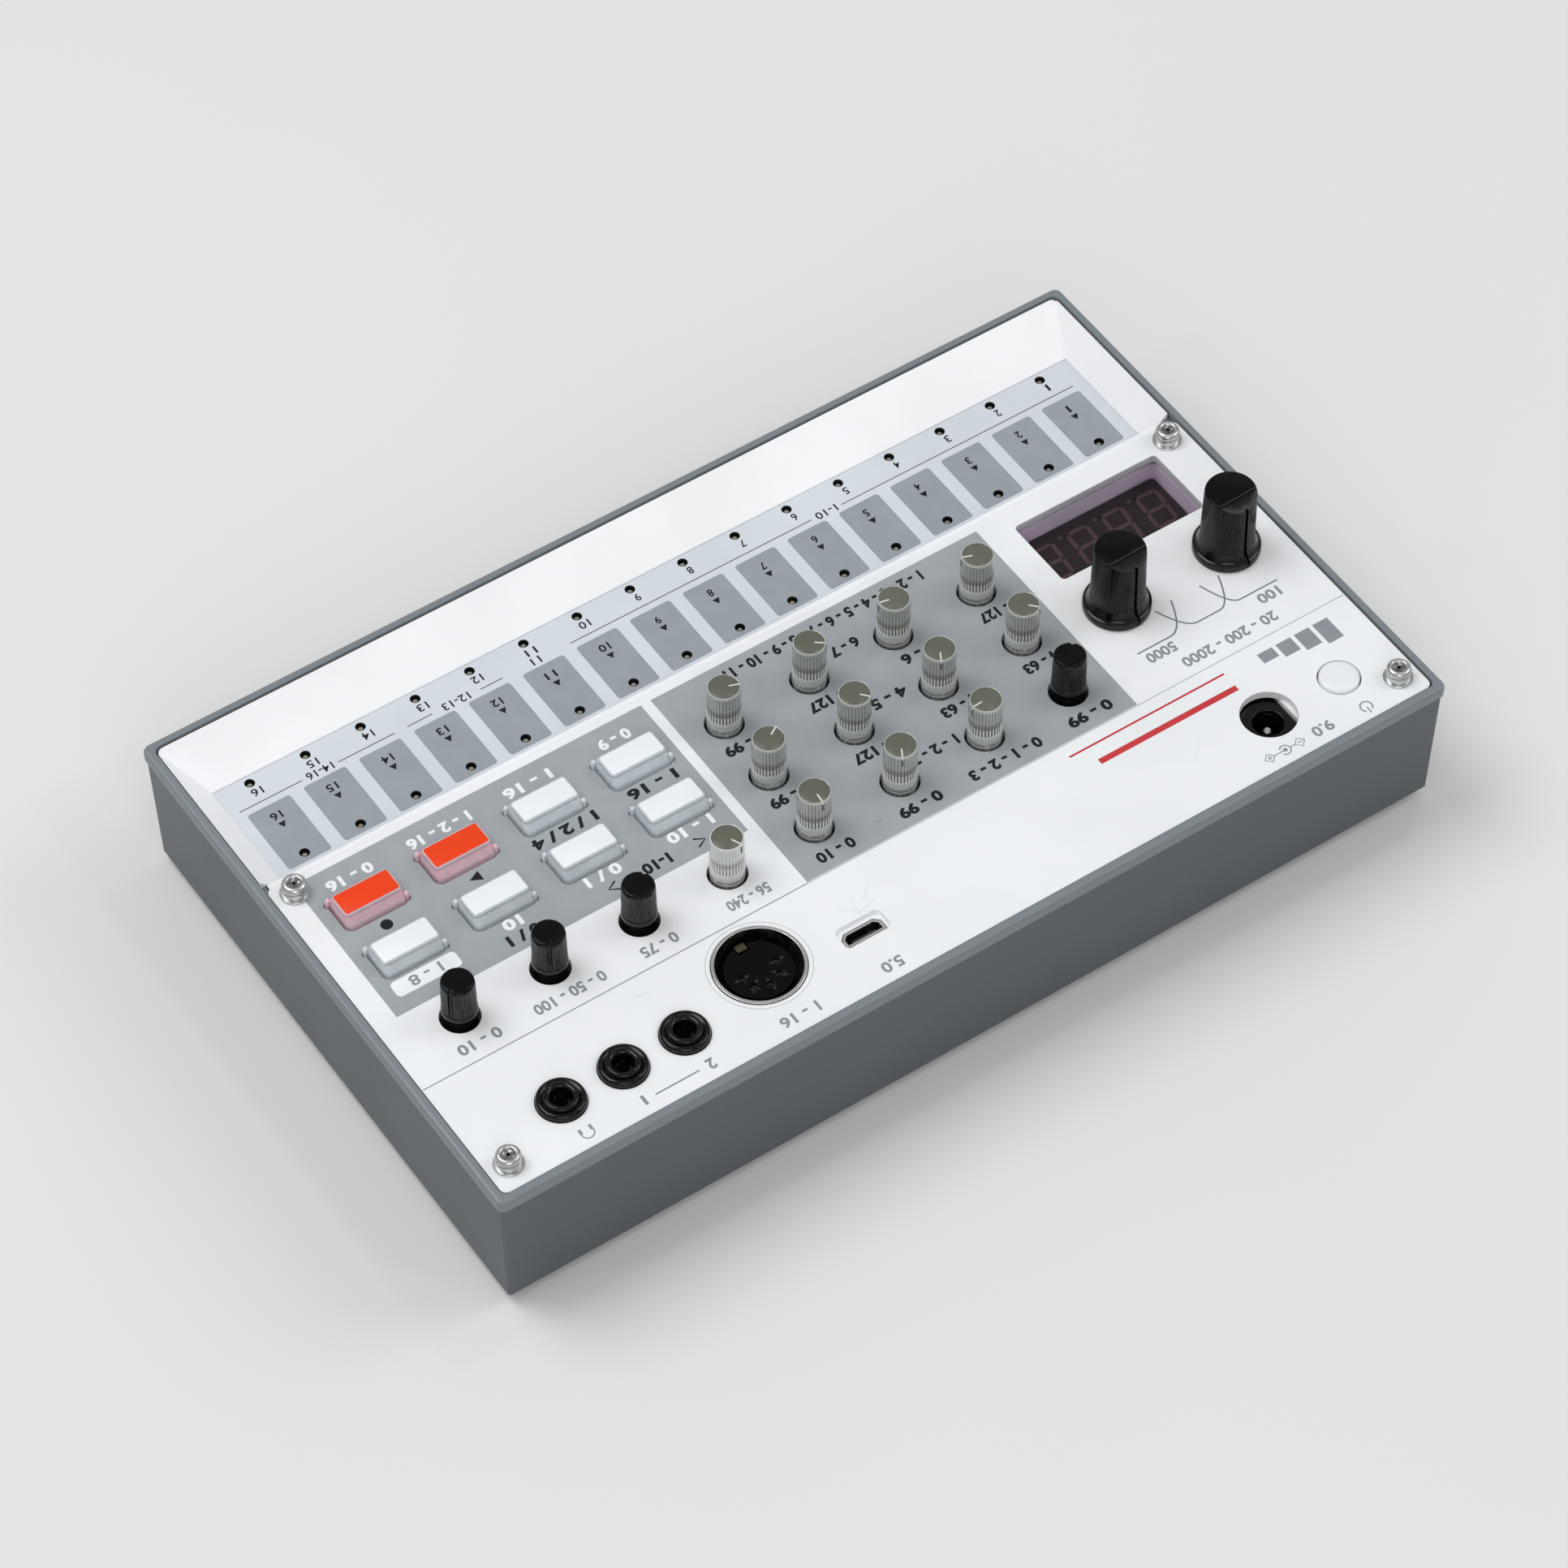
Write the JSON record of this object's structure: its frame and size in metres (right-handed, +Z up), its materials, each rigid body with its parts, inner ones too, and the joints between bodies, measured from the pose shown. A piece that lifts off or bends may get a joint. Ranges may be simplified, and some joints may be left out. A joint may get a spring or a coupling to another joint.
{
  "type": "drum machine",
  "caption": "Table-top drum machine with a grey tub case, white control panel, clear and black knobs, push buttons, touch-key row, small display, and sockets along the rear edge.",
  "frame": {"origin": "middle of the footprint at the underside of the feet", "axes": "+X to the player's right, +Y to the rear edge with the sockets, +Z up"},
  "size_m": [0.193, 0.115, 0.0447],
  "materials": {
    "case_plastic": "satin moulded blue-grey plastic",
    "panel_white": "smooth white lacquer with printed fields",
    "tray_white": "smooth white moulded plastic",
    "key_face": "pale printed touch surface with grey keys",
    "knob_black": "black moulded plastic",
    "knob_clear": "clear acrylic",
    "button_white": "translucent white plastic",
    "button_red": "translucent plastic with an orange-red face",
    "window_tint": "plum-tinted clear plastic",
    "display_face": "dark face with pale unlit segments",
    "bezel_white": "white moulded plastic",
    "rubber": "matt black rubber",
    "screw_nickel": "bright nickel plating",
    "ring_nickel": "bright nickel plating",
    "steel": "plain steel",
    "socket_black": "black moulded plastic",
    "contact_metal": "plated contacts",
    "circuit_board": "green solder mask",
    "component_dark": "dark moulded component bodies",
    "cell_jacket": "printed foil jacket",
    "cone_paper": "black pressed paper",
    "ribbon": "grey ribbon and white headers",
    "light_body": "small light-emitting diodes"
  },
  "bodies": {
    "chassis": {"bottom_case": "case_plastic", "rubber_feet": "rubber", "batteries": "cell_jacket", "battery_contacts": "steel", "speaker_frame": "steel", "speaker_cone": "cone_paper", "main_board": "circuit_board", "jack_board": "circuit_board", "board_screws": "steel", "ribbon_cable": "ribbon", "small_pots": "component_dark", "large_pots": "component_dark", "tact_switches": "component_dark", "power_switch": "component_dark", "display_module": "display_face", "display_bezel": "bezel_white", "display_window": "window_tint", "key_board": "key_face", "step_lights": "light_body", "key_tray": "tray_white", "control_panel": "panel_white", "panel_screws": "screw_nickel", "headphone_jack": "socket_black", "sync_out_jack": "socket_black", "sync_in_jack": "socket_black", "din_shell": "ring_nickel", "din_insert": "socket_black", "data_socket": "ring_nickel", "inlet_socket": "socket_black", "socket_pins": "contact_metal"},
    "level_knob": {"level_knob": "knob_clear"},
    "pan_knob": {"pan_knob": "knob_clear"},
    "amp_attack_knob": {"amp_attack_knob": "knob_clear"},
    "amp_decay_knob": {"amp_decay_knob": "knob_clear"},
    "speed_knob": {"speed_knob": "knob_clear"},
    "eg_int_knob": {"eg_int_knob": "knob_clear"},
    "pitch_attack_knob": {"pitch_attack_knob": "knob_clear"},
    "pitch_decay_knob": {"pitch_decay_knob": "knob_clear"},
    "sample_knob": {"sample_knob": "knob_black"},
    "start_point_knob": {"start_point_knob": "knob_clear"},
    "length_knob": {"length_knob": "knob_clear"},
    "hi_cut_knob": {"hi_cut_knob": "knob_clear"},
    "tempo_knob": {"tempo_knob": "knob_clear"},
    "swing_knob": {"swing_knob": "knob_black"},
    "reverb_knob": {"reverb_knob": "knob_black"},
    "volume_knob": {"volume_knob": "knob_black"},
    "treble_knob": {"treble_knob": "knob_black", "treble_shaft": "steel"},
    "bass_knob": {"bass_knob": "knob_black", "bass_shaft": "steel"},
    "write_button": {"write_button": "button_white"},
    "step_jump_button": {"step_jump_button": "button_white"},
    "active_step_button": {"active_step_button": "button_red"},
    "step_rec_button": {"step_rec_button": "button_red"},
    "memory_button": {"memory_button": "button_white"},
    "step_mode_button": {"step_mode_button": "button_white"},
    "solo_button": {"solo_button": "button_white"},
    "func_button": {"func_button": "button_white"},
    "power_button": {"power_button": "button_white"},
    "battery_cover": {"battery_cover": "case_plastic"}
  },
  "joints": [
    {"name": "level_turn", "type": "hinge", "parent": "chassis", "child": "level_knob", "pos_m": [-0.04195, -0.006, 0.0296], "axis": [0, 0, 1], "range_deg": [-29, 251]},
    {"name": "pan_turn", "type": "hinge", "parent": "chassis", "child": "pan_knob", "pos_m": [-0.02432, -0.006, 0.0296], "axis": [0, 0, 1], "range_deg": [-38, 242]},
    {"name": "amp_attack_turn", "type": "hinge", "parent": "chassis", "child": "amp_attack_knob", "pos_m": [-0.00669, -0.006, 0.0296], "axis": [0, 0, 1], "range_deg": [-193, 87]},
    {"name": "amp_decay_turn", "type": "hinge", "parent": "chassis", "child": "amp_decay_knob", "pos_m": [0.01094, -0.006, 0.0296], "axis": [0, 0, 1], "range_deg": [-209, 71]},
    {"name": "speed_turn", "type": "hinge", "parent": "chassis", "child": "speed_knob", "pos_m": [-0.04195, 0.00768, 0.0296], "axis": [0, 0, 1], "range_deg": [-183, 97]},
    {"name": "eg_int_turn", "type": "hinge", "parent": "chassis", "child": "eg_int_knob", "pos_m": [-0.02432, 0.00768, 0.0296], "axis": [0, 0, 1], "range_deg": [-111, 169]},
    {"name": "pitch_attack_turn", "type": "hinge", "parent": "chassis", "child": "pitch_attack_knob", "pos_m": [-0.00669, 0.00768, 0.0296], "axis": [0, 0, 1], "range_deg": [-180, 100]},
    {"name": "pitch_decay_turn", "type": "hinge", "parent": "chassis", "child": "pitch_decay_knob", "pos_m": [0.01094, 0.00768, 0.0296], "axis": [0, 0, 1], "range_deg": [-260, 20]},
    {"name": "sample_turn", "type": "hinge", "parent": "chassis", "child": "sample_knob", "pos_m": [-0.04195, 0.02136, 0.0296], "axis": [0, 0, 1], "range_deg": [-275, 5]},
    {"name": "start_point_turn", "type": "hinge", "parent": "chassis", "child": "start_point_knob", "pos_m": [-0.02432, 0.02136, 0.0296], "axis": [0, 0, 1], "range_deg": [-53, 227]},
    {"name": "length_turn", "type": "hinge", "parent": "chassis", "child": "length_knob", "pos_m": [-0.00669, 0.02136, 0.0296], "axis": [0, 0, 1], "range_deg": [-112, 168]},
    {"name": "hi_cut_turn", "type": "hinge", "parent": "chassis", "child": "hi_cut_knob", "pos_m": [0.01094, 0.02136, 0.0296], "axis": [0, 0, 1], "range_deg": [-136, 144]},
    {"name": "tempo_turn", "type": "hinge", "parent": "chassis", "child": "tempo_knob", "pos_m": [0.02857, 0.02136, 0.0296], "axis": [0, 0, 1], "range_deg": [-164, 116]},
    {"name": "swing_turn", "type": "hinge", "parent": "chassis", "child": "swing_knob", "pos_m": [0.0462, 0.02136, 0.0296], "axis": [0, 0, 1], "range_deg": [-265, 15]},
    {"name": "reverb_turn", "type": "hinge", "parent": "chassis", "child": "reverb_knob", "pos_m": [0.06383, 0.02136, 0.0296], "axis": [0, 0, 1], "range_deg": [-111, 169]},
    {"name": "volume_turn", "type": "hinge", "parent": "chassis", "child": "volume_knob", "pos_m": [0.08146, 0.02136, 0.0296], "axis": [0, 0, 1], "range_deg": [-81, 199]},
    {"name": "treble_turn", "type": "hinge", "parent": "chassis", "child": "treble_knob", "pos_m": [-0.0603, 0.01045, 0.0296], "axis": [0, 0, 1], "range_deg": [-142, 138]},
    {"name": "bass_turn", "type": "hinge", "parent": "chassis", "child": "bass_knob", "pos_m": [-0.0841, 0.01045, 0.0296], "axis": [0, 0, 1], "range_deg": [-142, 138]},
    {"name": "write_press", "type": "slide", "parent": "chassis", "child": "write_button", "axis": [0, 0, -1], "range_m": [0, 0.0008], "stiffness_N_per_m": 600, "springref_m": -0.001},
    {"name": "step_jump_press", "type": "slide", "parent": "chassis", "child": "step_jump_button", "axis": [0, 0, -1], "range_m": [0, 0.0008], "stiffness_N_per_m": 600, "springref_m": -0.001},
    {"name": "active_step_press", "type": "slide", "parent": "chassis", "child": "active_step_button", "axis": [0, 0, -1], "range_m": [0, 0.0008], "stiffness_N_per_m": 600, "springref_m": -0.001},
    {"name": "step_rec_press", "type": "slide", "parent": "chassis", "child": "step_rec_button", "axis": [0, 0, -1], "range_m": [0, 0.0008], "stiffness_N_per_m": 600, "springref_m": -0.001},
    {"name": "memory_press", "type": "slide", "parent": "chassis", "child": "memory_button", "axis": [0, 0, -1], "range_m": [0, 0.0008], "stiffness_N_per_m": 600, "springref_m": -0.001},
    {"name": "step_mode_press", "type": "slide", "parent": "chassis", "child": "step_mode_button", "axis": [0, 0, -1], "range_m": [0, 0.0008], "stiffness_N_per_m": 600, "springref_m": -0.001},
    {"name": "solo_press", "type": "slide", "parent": "chassis", "child": "solo_button", "axis": [0, 0, -1], "range_m": [0, 0.0008], "stiffness_N_per_m": 600, "springref_m": -0.001},
    {"name": "func_press", "type": "slide", "parent": "chassis", "child": "func_button", "axis": [0, 0, -1], "range_m": [0, 0.0008], "stiffness_N_per_m": 600, "springref_m": -0.001},
    {"name": "power_press", "type": "slide", "parent": "chassis", "child": "power_button", "axis": [0, 0, -1], "range_m": [0, 0.0015], "stiffness_N_per_m": 500, "springref_m": -0.001},
    {"name": "battery_cover_swing", "type": "hinge", "parent": "chassis", "child": "battery_cover", "pos_m": [0.012, -0.0223, 0.0015], "axis": [-1, 0, 0], "range_deg": [0, 100]}
  ]
}
